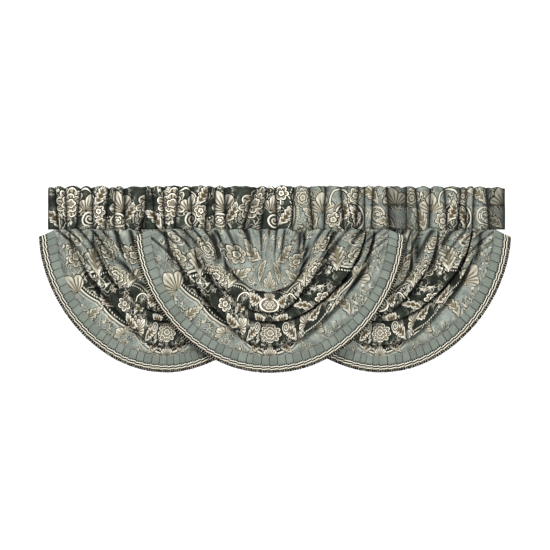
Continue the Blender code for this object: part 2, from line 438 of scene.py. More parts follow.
# Each motif laid on the cloth: what is drawn, where its middle lies in millimetres across and up
# from the middle of the seam, its half width, its lean in degrees, and its height to its width.
Motif = namedtuple("Motif", "drawing across along size lean squash", defaults=(1.0,))
SWAG_MOTIFS = [Motif(*row) for row in (
    (acanthus, 70, -185, 56, 30),
    (acanthus, 120, -85, 70, -35),
    (palmette, 0, -235, 50, 0, 0.9),
    (rosette, 205, -75, 42, 0),
    (acanthus, 215, -190, 80, 48),
    (peony, 325, -70, 46, 60, 0.8),
    (peony, 315, -190, 64, 30, 0.8),
    (acanthus, 405, -150, 80, 20),
    (volute, 475, -60, 40, 60),
    (rosette, 505, -160, 46, 0),
    (palmette, 575, -270, 60, -28),
    (acanthus, 500, -440, 62, 42),
    (palmette, 360, -560, 38, -50, 0.9),
    (acanthus, 105, -345, 66, -62, 0.8),
    (hoop, 190, -345, 55, -50, 0.8),
    (medallion, 0, -378, 80, 0, 0.46),
    (palmette, 0, -330, 38, 0, 0.8),
    (acanthus, 240, -405, 62, 70, 0.9),
    (rosette, 335, -370, 40, 0),
    (acanthus, 80, -475, 58, -78, 0.8),
    (acanthus, 150, -575, 68, 72, 0.9),
    (palmette, 235, -510, 44, 60),
    (acanthus, 310, -470, 64, -40, 0.9),
    (acanthus, 420, -370, 62, -28, 0.9),
    (volute, 105, -545, 28, 0),
    (peony, 0, -578, 76, 0, 0.62),
    (medallion, 195, -640, 40, 24, 0.5),
    (acanthus, 115, -695, 52, 74, 0.8),
    (palmette, 0, -712, 40, 0, 0.9),
)]
HEADING_MOTIFS = [Motif(*row) for row in (
    (acanthus, -600, 50, 62, 40),
    (hoop, -440, 125, 75, -20),
    (peony, -505, 125, 78, 10, 0.9),
    (palmette, -410, 120, 46, -18, 1.1),
    (volute, -405, 50, 34, 0),
    (acanthus, -350, 160, 52, -24),
    (rosette, -355, 85, 34, 0),
    (acanthus, -330, 30, 50, 60),
    (palmette, -245, 130, 56, 30, 1.1),
    (medallion, -250, 45, 44, 0, 0.8),
    (acanthus, -190, 80, 58, -30),
    (hoop, -10, 130, 75, -15),
    (peony, -85, 125, 80, 40, 0.9),
    (palmette, 12, 118, 44, -16, 1.1),
    (volute, 20, 45, 34, 90),
    (rosette, 60, 170, 32, 0),
    (acanthus, 75, 60, 56, -35),
    (peony, 165, 150, 50, 30, 0.8),
    (acanthus, 205, 55, 62, 30),
    (palmette, 265, 120, 56, 0),
    (rosette, 320, 45, 36, 20),
    (hoop, 355, 140, 56, 10),
    (acanthus, 375, 85, 60, -20),
    (acanthus, 435, 60, 56, 18),
    (rosette, 430, 160, 34, 0),
    (volute, 560, 70, 44, 0),
    (acanthus, 600, 35, 50, 70),
    (acanthus, 520, 165, 60, 60),
    (palmette, 640, 150, 50, 15),
)]
MILLIMETRE = 0.001
OUTLINE = 0.0024  # half the width of an outline, in metres
UNSEEN = 1e-7  # metres, far too little to show
HEADER_FOLD = 0.204  # how far up the strip of the heading is folded over to the back


def motif_group(drawing):
    """The nodes of one kind of motif. They place it, turn it and size it, then draw it."""

    def draw(_, across, along, middle_across, middle_along, lean, size, squash):
        x, y = (across - middle_across) / size, (along - middle_along) / size
        cosine, sine = lean.cosine(), lean.sine()
        return drawing(x * cosine + y * sine, (y * cosine - x * sine) / squash, OUTLINE / size)

    inputs = ("across", "along", "middle across", "middle along", "lean", "size", "squash")
    return node_group("motif_" + drawing.__name__, inputs, ("body", "ink", "light"), draw)


def lay_group():
    """The nodes that lay a motif: cream and ink on the dark ground, beige and umber on the pale."""

    def draw(tree, colour, dark, body, ink, light, strength):
        light = light.lesser(1.0).greater(0.0)
        crisp = blend_colour(tree, light, TAN, CREAM)
        soft = blend_colour(tree, light, KHAKI, BEIGE)
        colour = blend_colour(tree, body * strength, colour, blend_colour(tree, dark, soft, crisp))
        contour = blend_colour(tree, dark, UMBER, INK)
        return (blend_colour(tree, ink * strength, colour, contour),)

    inputs = ("colour", "dark", "body", "ink", "light", "strength")
    return node_group("lay_motif", inputs, ("colour",), draw)


def repeat(across, along, width, height):
    """Places in a half-drop repeat, measured from the middle of each repeat."""
    column = across / width
    row = along / height + (column.floor() * 0.5).part()
    return (column.part() - 0.5) * width, (row.part() - 0.5) * height


MOTTLE = 2.6  # how strongly the two threads of a ground part into patches

# The border, in metres from where the two grounds meet: a strap and a thread outside the dark
# ground, and pearls inside it.
STRAP_PLACE = 0.002
STRAP_HALF = 0.0042
STRAP_LINES_HALF = 0.0078
PEARL_PITCH = 0.014
PEARL_PLACE = 0.0145
PEARL_RADIUS = 0.0036
THREAD_PLACE = 0.018
THREAD_HALF = 0.0018


class Jacquard:
    """The cloth's colour, as motif after motif is laid on a ground of two colours."""

    def __init__(self, tree, depth, tone):
        """Depth is how many metres inside the dark ground a place lies. Tone lightens that ground;
        under 1, as on the swags, it paints the dark ground darker as painted shade.
        """
        self.tree = tree
        self.dark = depth.above(0.0, OUTLINE / 2)
        mottle = (cloud(tree, 18.0) - 0.5) * MOTTLE + 0.5
        pale = blend_colour(tree, mottle, SKY_SHADE, SKY_GROUND)
        deep = blend_colour(tree, mottle * tone, FOREST_SHADE, FOREST_GROUND)
        self.colour = blend_colour(tree, self.dark, pale, deep)

    def lay(self, body, ink, light, strength=1.0):
        values = (self.colour, self.dark, body, ink, light, strength)
        (self.colour,) = use_group(self.tree, lay_group(), values)
        self.last = ink

    def lay_motif(self, motif, across, along):
        """Lays a motif, nudged unseen by the last one so that it is worked out after it."""
        values = (across + self.last * UNSEEN, along, motif.across * MILLIMETRE,
                  motif.along * MILLIMETRE, math.radians(motif.lean), motif.size * MILLIMETRE,
                  motif.squash)
        self.lay(*use_group(self.tree, motif_group(motif.drawing), values))

    def lay_border(self, depth, arc):
        """The strap between the two grounds, with pearls on its dark side and a thread on the pale."""
        off = abs(depth + STRAP_PLACE)
        strap = off.below(STRAP_HALF)
        line = off.below(STRAP_LINES_HALF) - strap
        self.lay(strap, line, strap * 0.8)
        bead = ((arc / PEARL_PITCH).part() - 0.5) * PEARL_PITCH
        pearl = distance(bead, depth - PEARL_PLACE).below(PEARL_RADIUS)
        self.lay(pearl, pearl * 0.0, pearl)
        thread = abs(depth + THREAD_PLACE).below(THREAD_HALF)
        self.lay(thread, thread * 0.0, thread * 0.9, 0.7)


def swag_ground(across, along):
    """How far a place lies inside the dark ring that follows the folds, and how far round it is."""
    reach = distance(across, along)
    turn = across.angle(0.0 - along)
    inner = reach - turn * 0.050 - 0.298
    falling = 1.0 - turn / 1.05
    outer = falling * abs(falling) * 0.14 + 0.600 - reach
    end = (1.10 - turn) * 0.45
    scallop = abs((turn * 7.0).sine()) * 0.022 - 0.012
    return inner.lesser(outer).lesser(end) + scallop, turn * reach


def heading_ground(across, along):
    """The heading's dark ground: its left half, with a pale bay, and a pocket in its right half."""
    half = 0.105 - across + abs((along / 0.050).sine()) * 0.020
    bay = distance((across + 0.290) / 1.6, along) - 0.048
    pocket = 0.074 - distance(across - 0.405, along - 0.055)
    return half.lesser(bay).greater(pocket), across + along


DRIFT = 0.014  # metres, from one end of a motif's wandering to the other


def wandered(tree, across, along):
    """The places moved a little from their true ones, as weaving and gathering move them."""
    drift_across = (cloud(tree, 9.0, 2.0) - 0.5) * DRIFT
    drift_along = (cloud(tree, 7.0, 2.0) - 0.5) * DRIFT
    return across + drift_across, along + drift_along


# Each kind of small sprig: what is drawn, where it starts, its size and the size of its repeat
Sprig = namedtuple("Sprig", "drawing start size width height")
SPRIGS = (
    Sprig(volute, 0.0, 0.026, 0.094, 0.105),
    Sprig(acanthus, 0.049, 0.027, 0.094, 0.105),
    Sprig(acanthus, 0.071, 0.019, 0.047, 0.053),
)


def lay_tendrils(jacquard, across, along, richness):
    """Tendrils and sprigs all over, softer than the motifs, in clusters on the dark ground."""
    cluster = cloud(jacquard.tree, 9.0, 1.0).above(0.50, 0.05)
    strength = (0.22 - jacquard.dark * 0.20 + cluster * 0.58) * richness
    for sprig in SPRIGS:
        x, y = repeat(across + sprig.start, along + sprig.start, sprig.width, sprig.height)
        hair = OUTLINE * 0.7 / sprig.size
        jacquard.lay(*sprig.drawing(x / sprig.size, y / sprig.size, hair), strength)
    lay_scrolls(jacquard, 30.0, 0.030, strength)


def lay_scrolls(jacquard, scale, width, strength):
    """Branching scrolls that run along the middle level of a soft cloud."""
    off = abs(cloud(jacquard.tree, scale, 1.0) - 0.5)
    thread = off.below(width, width / 3)
    line = off.below(width * 2.6, width / 3) - thread
    jacquard.lay(thread, line, 1.2 - off * (0.9 / width), strength)


def damask_figure(tree, across, along, heading, rich):
    """The whole pattern of a heading or a swag. A rich one has every motif, a poor one a third."""
    if heading:
        along = HEADER_FOLD - abs(along - HEADER_FOLD)
    across, along = wandered(tree, across, along)
    if heading:
        depth, arc = heading_ground(across, along)
        motifs, richness, tone = HEADING_MOTIFS, 1.0, 1.0
    else:
        across = abs(across)
        depth, arc = swag_ground(across, along)
        # the swags' dark ground is painted darker than the heading's: painted shade of the deep rolls
        motifs, tone = SWAG_MOTIFS, 0.45
        reach = distance(across, along)
        richness = 1.0 - reach.below(0.21, 0.07) * 0.35 - reach.above(0.60, 0.03) * 0.15
    jacquard = Jacquard(tree, depth, tone)
    lay_tendrils(jacquard, across, along, richness)
    jacquard.lay_border(depth, arc)
    for motif in motifs if rich else motifs[::3]:
        jacquard.lay_motif(motif, across, along)
    return jacquard.colour


def weave_relief(across, along, pitch):
    """Fine diagonal ribs of thread."""
    rib = (across + along).sine_of_turns(1 / pitch)
    cross = (across - along).sine_of_turns(1 / (pitch * 1.7))
    return rib * 0.5 + cross * 0.3


def brightness(tree, colour):
    """How light a colour is, from 0 to 1."""
    node = tree.nodes.new("ShaderNodeRGBToBW")
    tree.links.new(colour, node.inputs[0])
    return Field(tree, node.outputs[0])


def paint_fold_shade(tree, colour, strength):
    """Painted shade: the colour made deeper, towards near-black, where the sheet's own painted-shade
    attribute says that little light comes.
    """
    painted_crease_shade = tree.nodes.new("ShaderNodeAttribute")
    painted_crease_shade.attribute_name = "painted_crease_shade"
    return blend_colour(tree, Field(tree, painted_crease_shade.outputs["Fac"]) * strength, colour, PAINTED_FOLD_SHADE)


def damask(name, heading, reverse=False):
    """Jacquard cloth: satin figure on a ribbed ground. The reverse is duller and has less of it."""
    material, tree, shader = new_finish(name, roughness=0.62, sheen=0.04)
    across, along = cloth_fields(tree)
    colour = damask_figure(tree, across, along, heading, not reverse)
    satin = brightness(tree, colour)
    if reverse:
        colour = blend_colour(tree, 0.45, colour, SKY_SHADE)
    slub = cloud(tree, 420.0, 2.0)
    colour = blend_colour(tree, slub * 0.16, colour, FOREST_SHADE)
    # painted shade: the cloth's colour darkened in its folds and creases from the sheet's
    # painted-shade attribute
    plug(tree, paint_fold_shade(tree, colour, 0.92), shader.inputs["Base Color"])
    plug(tree, 0.78 - satin * 0.30, shader.inputs["Roughness"])
    raise_surface(tree, shader, weave_relief(across, along, pitch=0.0022), depth=0.0004)
    return material


RIB_PITCH = 0.0018
THREAD_PITCH = 0.0011


def ribbon_cloth(name):
    """Plain ribbed ribbon with a low sheen."""
    material, tree, shader = new_finish(name, roughness=0.50, sheen=0.10)
    across, along = cloth_fields(tree)
    colour = blend_colour(tree, cloud(tree, 60.0), SAGE_SHADE, SAGE_RIBBON)
    # painted shade: the ribbon's colour darkened in its pleat tucks from the sheet's painted-shade
    # attribute
    plug(tree, paint_fold_shade(tree, colour, 0.85), shader.inputs["Base Color"])
    rib = across.sine_of_turns(1 / RIB_PITCH) * 0.5
    thread = along.sine_of_turns(1 / THREAD_PITCH) * 0.2
    raise_surface(tree, shader, rib + thread, depth=0.0006)
    return material


# Where the braid's stripes lie, in metres out from its inner edge.
STRIPE_EDGE = 0.0003
STITCH_ROW = 0.0062
STITCH_PITCH = 0.0112
DARK_CORD = 0.0138
DARK_CORD_HALF = 0.0031
LAST_CORD = 0.0213
TWIST_PITCH = 0.0032


def cord_braid(name):
    """The braid's two pale cords with a dark one between, and a row of dark stitches inside."""
    material, tree, shader = new_finish(name, roughness=0.66, sheen=0.0)
    across, along = cloth_fields(tree)
    dark_cord = abs(along - DARK_CORD).below(DARK_CORD_HALF, STRIPE_EDGE)
    stitch_row = along.below(STITCH_ROW, STRIPE_EDGE)
    stitch = stitch_row * across.sine_of_turns(1 / STITCH_PITCH).above(-0.3, 0.2)
    slub = cloud(tree, 300.0)
    base = blend_colour(tree, slub * 0.15, CREAM, TAN)
    base = blend_colour(tree, stitch_row, base, SAGE_RIBBON)
    base = blend_colour(tree, along.above(LAST_CORD, STRIPE_EDGE), base, KHAKI)
    colour = blend_colour(tree, dark_cord.greater(stitch), base, INK)
    plug(tree, colour, shader.inputs["Base Color"])
    twist = (across + along * 1.4).sine_of_turns(1 / TWIST_PITCH)
    raise_surface(tree, shader, twist, depth=0.0008)
    return material


SPECK_PITCH = 0.0105
YARN_ROOT = 0.38  # the share of a yarn end that is khaki


def brush_yarn(name):
    """Cut yarn ends, khaki by the braid and dark at their tips, with cream ones here and there."""
    material, tree, shader = new_finish(name, roughness=0.85, sheen=0.05)
    across, along = cloth_fields(tree)
    uneven = (cloud(tree, 70.0, 1.0) - 0.5) * 3.0
    speck = (across.sine_of_turns(1 / SPECK_PITCH) + uneven).above(0.95, 0.1)
    tip = blend_colour(tree, speck, INK, BEIGE)
    colour = blend_colour(tree, along.above(YARN_ROOT, 0.06), KHAKI, tip)
    plug(tree, colour, shader.inputs["Base Color"])
    return material


def floor_paint(name):
    material, _, shader = new_finish(name, roughness=0.9, sheen=0.0)
    shader.inputs["Base Color"].default_value = PAINT
    return material


# Shared curves


def smooth_step(value):
    value = np.clip(value, 0.0, 1.0)
    return value * value * (3 - 2 * value)


def ripple(seed, first, second, waves):
    """A smooth uneven surface over two coordinates, from a few crossed waves, about -1 to 1."""
    chance = np.random.default_rng(seed)
    total = np.zeros(np.broadcast(first, second).shape)
    for strength in (1.0, 0.7, 0.5, 0.4):
        turn, phase = chance.uniform(-1, 1), chance.uniform(0, math.tau)
        rate = waves * chance.uniform(0.7, 1.5)
        total += strength * np.sin(math.tau * rate * (first + turn * second) + phase)
    return total / 1.8


def power_bow(reach, drop, squareness, turn):
    """Points of a bow, out from the centre and down: turn is 0 at the bottom and 1 at the seam."""
    angle = np.abs(turn) * math.pi / 2
    power = 1 + (2 / squareness - 1) * smooth_step(np.abs(turn) / ROUND_BOTTOM)
    across = reach * np.sin(angle) ** power
    down = drop * np.clip(np.cos(angle), 0, 1) ** power
    return across, down


def half_form(valance, turn):
    """How wide each half of a valance is beside a full one, and how square its bow is."""
    right = turn > 0
    reach = np.where(right, valance.reach_right, valance.reach_left)
    square = np.where(right, valance.square_right, valance.square_left)
    return (reach - BORDER_WIDTH) / HEM_REACH, square


def seam_lift(valance, x):
    """How far the seam rises and falls where the gathers pull it, clear of the frill's ends."""
    off = x - valance.centre
    pull = ripple(valance.seed + 31, off * 7, 0.0, 1.3) * 0.0065
    pull += ripple(valance.seed + 32, off * 19, 0.0, 1.2) * 0.0040
    return pull * smooth_step((0.49 - np.abs(off)) / 0.06)


def line_points(valance, line, turn):
    """Where a line of the drape passes, turn running from -1 at the left seam to 1 at the right."""
    right = turn > 0
    width, square = half_form(valance, turn)
    reach = np.where(right, line.right, line.left) * width
    bow = np.where(right, line.bow_right, line.bow_left) * square / HEM_SQUARENESS
    across, down = power_bow(reach, line.drop, bow, turn)
    flank = np.where(right, line.out_right, line.out_left)
    share = smooth_step(np.abs(turn) / FLANK)
    out = line.out_bottom * (1 - share) + flank * share
    base = LINES[0].out_bottom
    out = base + (out - base) * (1 - np.exp(-down / FOLD_START))
    x = valance.centre + np.where(right, 1, -1) * across
    return np.stack([x, valance.plane - out, SEAM_Z - GAP - down], axis=-1)


def border_points(valance, turn, width):
    """Points of the border, width outside the swag's hem."""
    share, square = half_form(valance, turn)
    across, down = power_bow(HEM_REACH * share + width, HEM_DROP + width, square, turn)
    down = down + BORDER_SLOPE * width / BORDER_WIDTH * np.abs(turn) ** SLOPE_POWER
    x = valance.centre + np.where(turn > 0, 1, -1) * across
    return x, SEAM_Z - GAP - down


def through(points, steps):
    """A smooth curve through each row of points along the first axis, and its place between them."""
    before = np.concatenate([2 * points[:1] - points[1:2], points, 2 * points[-1:] - points[-2:-1]])
    t = (np.arange(steps) / steps).reshape(-1, 1, 1)
    rows = []
    for k in range(len(points) - 1):
        a, b, c, d = before[k : k + 4]
        bend = (2 * a - 5 * b + 4 * c - d) * t * t + (3 * b - a - 3 * c + d) * t ** 3
        rows.append(0.5 * (2 * b + (c - a) * t + bend))
    places = np.arange((len(points) - 1) * steps + 1) / steps
    return np.concatenate([*rows, points[-1:]]), places


def step_lengths(places, axis):
    """How far each place lies from the one before it along an axis of a grid."""
    return np.linalg.norm(np.diff(places, axis=axis), axis=-1)


def running(steps):
    """How far along each place lies, from the steps between the places."""
    return np.concatenate([np.zeros((1,) + steps.shape[1:]), np.cumsum(steps, axis=0)])


def flat_map(across, along):
    """The flat places of a grid, from where its columns and its rows lie."""
    return np.stack(np.broadcast_arrays(across[None, :], along[:, None]), axis=-1)


def grid_normals(surface):
    """Unit normals of a grid of points that face the viewer where it lies flat."""
    down = np.gradient(surface, axis=0)
    along = np.gradient(surface, axis=1)
    normal = np.cross(down, along)
    length = np.linalg.norm(normal, axis=-1, keepdims=True)
    normal = normal / np.maximum(length, 1e-9)
    return normal * np.where(normal[..., 1:2].mean() > 0, -1.0, 1.0)


# Making pieces


def new_object(name, bm, materials):
    mesh = bpy.data.meshes.new(name)
    bm.to_mesh(mesh)
    bm.free()
    for material in materials:
        mesh.materials.append(material)
    thing = bpy.data.objects.new(name, mesh)
    bpy.context.scene.collection.objects.link(thing)
    return thing


def finish_piece(name, bm, materials, node):
    piece = new_object(name, bm, materials)
    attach(piece, "root")
    if node:
        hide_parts(node)
    return piece


def cloth_grid(surface, flat, painted_crease_shade):
    """A sheet from a grid of places, mapped to its flat cloth in metres, facing the viewer.

    Its last argument is painted shade: how deeply each place is painted dark for the little light that
    reaches it, from 0 to 1.
    """
    rows, columns = surface.shape[:2]
    bm = bmesh.new()
    bmesh.ops.create_grid(bm, x_segments=columns - 1, y_segments=rows - 1, size=1.0)
    layer = bm.loops.layers.uv.new("cloth")
    # per-vertex painted shade, read by the cloth materials
    painted_shade = bm.verts.layers.float.new("painted_crease_shade")
    index = {}
    for vert in bm.verts:
        column = round((vert.co.x + 1) / 2 * (columns - 1))
        row = round((1 - vert.co.y) / 2 * (rows - 1))
        index[vert] = (row, column)
    for face in bm.faces:
        for loop in face.loops:
            loop[layer].uv = flat[index[loop.vert]]
    for vert, place in index.items():
        vert.co = surface[place]
        vert[painted_shade] = painted_crease_shade[place]
    return bm


def sunken(surface, reach, depth):
    """How far each place lies behind those up and down the cloth: 1 at the depth and past it."""
    out = -surface[..., 1]
    padded = np.pad(out, ((reach, reach), (0, 0)), mode="edge")
    windows = np.lib.stride_tricks.sliding_window_view(padded, 2 * reach + 1, axis=0)
    around = windows.mean(axis=-1)
    return np.clip((around - out) / depth, 0.0, 1.0)


def sheet_piece(name, grid, materials, node, thickness):
    """A piece of one sheet, from its places, flat map and painted crease shade. Its last material is
    its back.
    """
    piece = finish_piece(name, cloth_grid(*grid), materials, node)
    shell = piece.modifiers.new("thickness", "SOLIDIFY")
    shell.thickness = thickness
    shell.offset = -1
    shell.material_offset = len(materials) - 1
    return piece


# The swags

SWAG_COLUMNS = 190
SWAG_STEPS = 11  # rows from each line of the drape to the next
# the painted shadow of the swags' folds: how many rows it looks over, and how deep a place must lie to
# take it in full
SHADOW_REACH = 8  # how many rows up and down a fold's shadow is looked for
SHADOW_DEPTH = 0.0085
GATHERS_PER_METRE = 18  # along the seam
GATHER_LEAN = 2.8
GATHER_START = 0.006


def swag_surface(valance):
    """The draped cloth, its flat map and its painted shadows: the drape's lines, then the finer folds.
    """
    turn = np.linspace(-1, 1, SWAG_COLUMNS)
    lines = np.array([line_points(valance, line, turn) for line in LINES])
    surface, place = through(lines, SWAG_STEPS)
    fade = np.exp((surface[..., 2] - SEAM_Z) / FOLD_START)
    surface[..., 2] += seam_lift(valance, surface[..., 0]) * fade
    reach = running(step_lengths(surface, 0))
    angle = turn * math.pi / 2
    across = lines[0, :, 0] - valance.centre + reach * np.sin(angle)
    flat = np.stack([across, -reach * np.cos(angle)], axis=-1)
    rise = fold_ripples(valance, place[:, None], turn[None, :])
    edge = np.minimum(place, len(LINES) - 1 - place)[:, None]
    near_seam = smooth_step((1 - np.abs(turn)) / 0.05)[None, :]
    rise = rise * smooth_step(edge) * near_seam
    surface = surface + grid_normals(surface) * rise[..., None]
    # painted shadow: places that lie behind their neighbours up and down the cloth are painted darker
    painted_shadow = sunken(surface, SHADOW_REACH, SHADOW_DEPTH) ** 1.2
    swell, fade = seam_gathers(valance, surface)
    surface[..., 1] -= swell * fade * SEAM_GATHER
    # painted shade in the hollows of the gathers under the seam, added to the painted shadow
    painted_hollow_shade = np.clip(-swell - 0.1, 0, 1) * smooth_step(fade * 1.6)
    return surface, flat, np.clip(painted_shadow + painted_hollow_shade * 1.1, 0, 1)


def seam_gathers(valance, surface):
    """The short gathers that run down from the seam: how each swells, from -1 to 1, and fades."""
    off, drop = surface[..., 0] - valance.centre, SEAM_Z - surface[..., 2]
    lean = off * (1 + np.clip(drop, 0, 0.4) * GATHER_LEAN)
    wander = ripple(valance.seed + 41, lean * 3, drop * 0.6, 1.2) * 0.5
    swell = np.sin(math.tau * (lean * GATHERS_PER_METRE + wander))
    reach = 0.085 + 0.045 * ripple(valance.seed + 42, lean * 5, 0.0, 1.4)
    down = np.clip(drop, 0, 1)
    fade = np.exp(-down / np.maximum(reach, 0.03)) * (1 - np.exp(-down / GATHER_START))
    return swell, fade


def fold_ripples(valance, place, turn):
    """How far the finer folds stand off the main ones: pleats that run in, and dents."""
    flank = smooth_step((np.abs(turn) - 0.30) / 0.5)
    left = (turn < 0) * smooth_step((place - 3.5) / 2) * smooth_step((13 - place) / 2)
    wander = ripple(valance.seed, turn, place * 0.04, 0.8) * 0.6
    swell = np.sin(math.tau * (place * 0.62 + wander))
    pleats = (1 - 2 * np.abs(swell) ** 0.6) * 0.0050 * flank
    pleats += np.sin(math.tau * (place * 1.1 + wander * 1.5)) * 0.0030 * flank * left
    dents = ripple(valance.seed + 1, turn * 1.6, place * 0.12, 0.9) * 0.0028
    creases = ripple(valance.seed + 2, place * 0.5, turn * 2.0, 1.3) * 0.0016
    return pleats + dents + creases


def dress_swag(valance, cloth, backing):
    surface, flat, painted_crease_shade = swag_surface(valance)
    piece = sheet_piece("swag_cloth_" + valance.name, (surface, flat, painted_crease_shade), (cloth, backing),
                        "swag_" + valance.name, CLOTH)
    piece.data.shade_smooth()


# The headings

# Where the columns of a gather lie between its creases: close together at the creases.
GATHER_STOPS = (0.0, 0.015, 0.035, 0.065, 0.11, 0.17, 0.25, 0.34, 0.44, 0.54, 0.64, 0.74, 0.82,
                0.88, 0.93, 0.96, 0.98)
PUCKERS = 27  # small puckers at the stitching, along half a heading
PUCKER = 0.0034
WRINKLE = 0.0026
UNEVEN_TOP = 0.0024
TOP_ROUND = 0.93  # from where up the header its two faces close


def heading_columns(height):
    """Each column's share of the heading's half width and its fullness, at a height from 0 to 1."""
    ends = np.array([-1.0] + [gather.end for gather in GATHERS])
    leans = np.array([0.0] + [gather.lean for gather in GATHERS])
    creases = ends + leans * (height - 0.5)
    stops = np.array(GATHER_STOPS)
    shares = creases[:-1, None] + stops * np.diff(creases)[:, None]
    fullness = np.array([[gather.fullness] for gather in GATHERS])
    bulges = np.sin(math.pi * stops) ** 0.62 * fullness
    return np.append(shares, 1.0), np.append(bulges, 0.0)


def heading_surface(valance):
    """The folded strip: up the front of the pocket and header, over the top and down the back."""
    pocket = np.linspace(0.0, 1.0, 17)
    header = np.linspace(0.0, 1.0, 10)
    front = [("pocket", level) for level in pocket] + [("header", level) for level in header[1:]]
    rows = [heading_row(valance, kind, level, -1.0) for kind, level in front]
    rows += [heading_row(valance, kind, level, 1.0) for kind, level in reversed(front)]
    surface = np.array([places for places, _ in rows])
    # the painted shade of every row, the second value that heading_row gives
    painted_crease_shade = np.array([depth for _, depth in rows])
    along = running(step_lengths(surface, 0).mean(axis=1))
    across = running(step_lengths(surface, 1).mean(axis=0))
    middle = np.argmin(np.abs(surface[0, :, 0] - valance.centre))
    return surface, flat_map(across - across[middle], along), painted_crease_shade


def heading_row(valance, kind, level, side):
    """One row of the folded strip, at a level of the pocket or the header, and its painted crease
    shade.
    """
    height = level * 0.5 if kind == "pocket" else 0.5 + level * 0.5
    share, bulge = heading_columns(height)
    x = valance.centre + share * np.where(share > 0, valance.heading_right, valance.heading_left)
    to_stitch = 1 - level if kind == "pocket" else level
    gather = math.exp(-to_stitch / 0.22) + (math.exp(-level / 0.16) if kind == "pocket" else 0.0)
    drift = ripple(valance.seed + 8, share, level * 0.1, 1.5) * 1.5
    pucker = np.sin(math.tau * (share * PUCKERS + drift)) * PUCKER * gather
    wrinkle = ripple(valance.seed + 3, share * 9, level, 1.4) * WRINKLE
    if kind == "pocket":
        full = max(math.sin(math.pi * level), 0.0) ** 0.45
        foot = SEAM_STAND if side < 0 and level < 0.5 else CLOTH
        half = foot + full * (POCKET_CREASE + (PUFF_CREST - POCKET_CREASE) * bulge - foot)
        y = side * (half - (pucker + wrinkle) * full)
        lift = seam_lift(valance, x) + SEAM_LAP * side
        z = SEAM_Z + (STITCH_Z - SEAM_Z) * level + lift * (1 - level)
    else:
        wave = HEADER_WAVE * (2 * bulge - 1) * (1 - (1 - level) ** 2)
        closing = max(0.0, level - TOP_ROUND) / (1 - TOP_ROUND)
        thickness = max(CLOTH * math.sqrt(max(0.0, 1 - closing ** 2)), 0.0002)
        y = -wave - pucker * level ** 0.5 + wrinkle * level + side * thickness
        z = STITCH_Z * (1 - level) - CREASE_DIP * (1 - bulge) * level ** 2
        z = z + (ripple(valance.seed + 5, share * 7, level, 1.5) - 1.0) * UNEVEN_TOP * level
    # painted shade: darker in the creases between gathers, along the stitching and at the puckers
    painted_crease_shade = np.clip(1.20 - bulge * 1.45, 0, 1)
    painted_crease_shade = painted_crease_shade + math.exp(-(to_stitch / 0.05) ** 2) * (0.5 - bulge * 0.4)
    painted_crease_shade = painted_crease_shade + np.clip(pucker / PUCKER - 0.5, 0, 1) * 0.6
    return np.stack([x, valance.plane + y, z], axis=-1), np.clip(painted_crease_shade, 0, 1)


def dress_heading(valance, cloth, backing):
    surface, flat, painted_crease_shade = heading_surface(valance)
    grid = (surface[::-1], flat[::-1], painted_crease_shade[::-1])
    piece = sheet_piece("heading_cloth_" + valance.name, grid, (cloth, backing),
                        "heading_" + valance.name, CLOTH)
    piece.data.shade_smooth()


# The trimming

# One knife pleat, its face and then its return. Each point has its share of the pleat's pitch along
# the band, its share of the step out, and how much painted shade it gets.
PLEAT_PATH = (
    (0.0, 0.86, 0.2),
    (0.03, 1.0, 0.0),
    (0.30, 0.90, 0.0),
    (0.62, 0.66, 0.0),
    (0.90, 0.46, 0.1),
    (0.95, 0.42, 1.0),
    (1.0, 0.36, 1.0),
    (1.0 + PLEAT_RETURN, 0.06, 1.0),
    (1.0 + PLEAT_RETURN, 0.0, 1.0),
    (1.0 + PLEAT_RETURN * 0.5, 0.40, 1.0),
    (0.995, 0.74, 0.8),
)


def pleat_starts(valance):
    """Where each knife pleat starts, from -1 to 1 and a little uneven, and what draws its chances."""
    chance = np.random.default_rng(valance.seed + 6)
    starts = np.linspace(-1, 1, PLEATS + 1)
    starts[1:-1] += chance.uniform(-0.12, 0.12, PLEATS - 1) * 2 / PLEATS
    return starts, chance


def frill_surface(valance):
    """The ribbon's places, flat map and painted shade, zigzagging through every pleat."""
    starts, chance = pleat_starts(valance)
    turns, outs, stairs, creases = [], [], [], []
    for pleat in range(PLEATS):
        start = starts[pleat]
        pitch = starts[pleat + 1] - start
        lift = chance.uniform(0.85, 1.15)
        # a random darkening of the whole pleat, carried in the painted-shade attribute
        tone = chance.uniform(0.0, 0.30)
        for share, step, painted_shade in PLEAT_PATH:
            if pleat == PLEATS - 1 and share > 1.0:
                continue
            turns.append(min(start + share * pitch, 1.0))
            outs.append(FRILL_OUT + PLEAT_STAND * step * lift)
            stairs.append(PLEAT_STAIR * (0.5 - min(share, 1.0)) * lift)
            # the painted shade of the point, or the pleat's random darkening where that is deeper
            creases.append(max(painted_shade, tone))
    turns, outs, stairs = np.array(turns), np.array(outs), np.array(stairs)
    rows = []
    for share in np.linspace(0, 1, FRILL_ROWS):
        width = GAP + share * (FRILL_WIDTH + 0.004 - GAP) + stairs * share
        x, z = border_points(valance, turns, width)
        soft = 0.0006 * np.sin(math.pi * share)
        rows.append(np.stack([x, valance.plane - outs - soft, z], axis=-1))
    surface = np.array(rows)
    across = running(step_lengths(surface.mean(axis=0), 0))
    flat = flat_map(across, np.linspace(0, FRILL_WIDTH, FRILL_ROWS))
    return surface, flat, np.broadcast_to(np.array(creases)[None, :], surface.shape[:2])


def dress_frill(valance, cloth):
    surface, flat, painted_crease_shade = frill_surface(valance)
    piece = sheet_piece("frill_ribbon_" + valance.name, (surface, flat, painted_crease_shade), (cloth,),
                        "frill_" + valance.name, RIBBON)


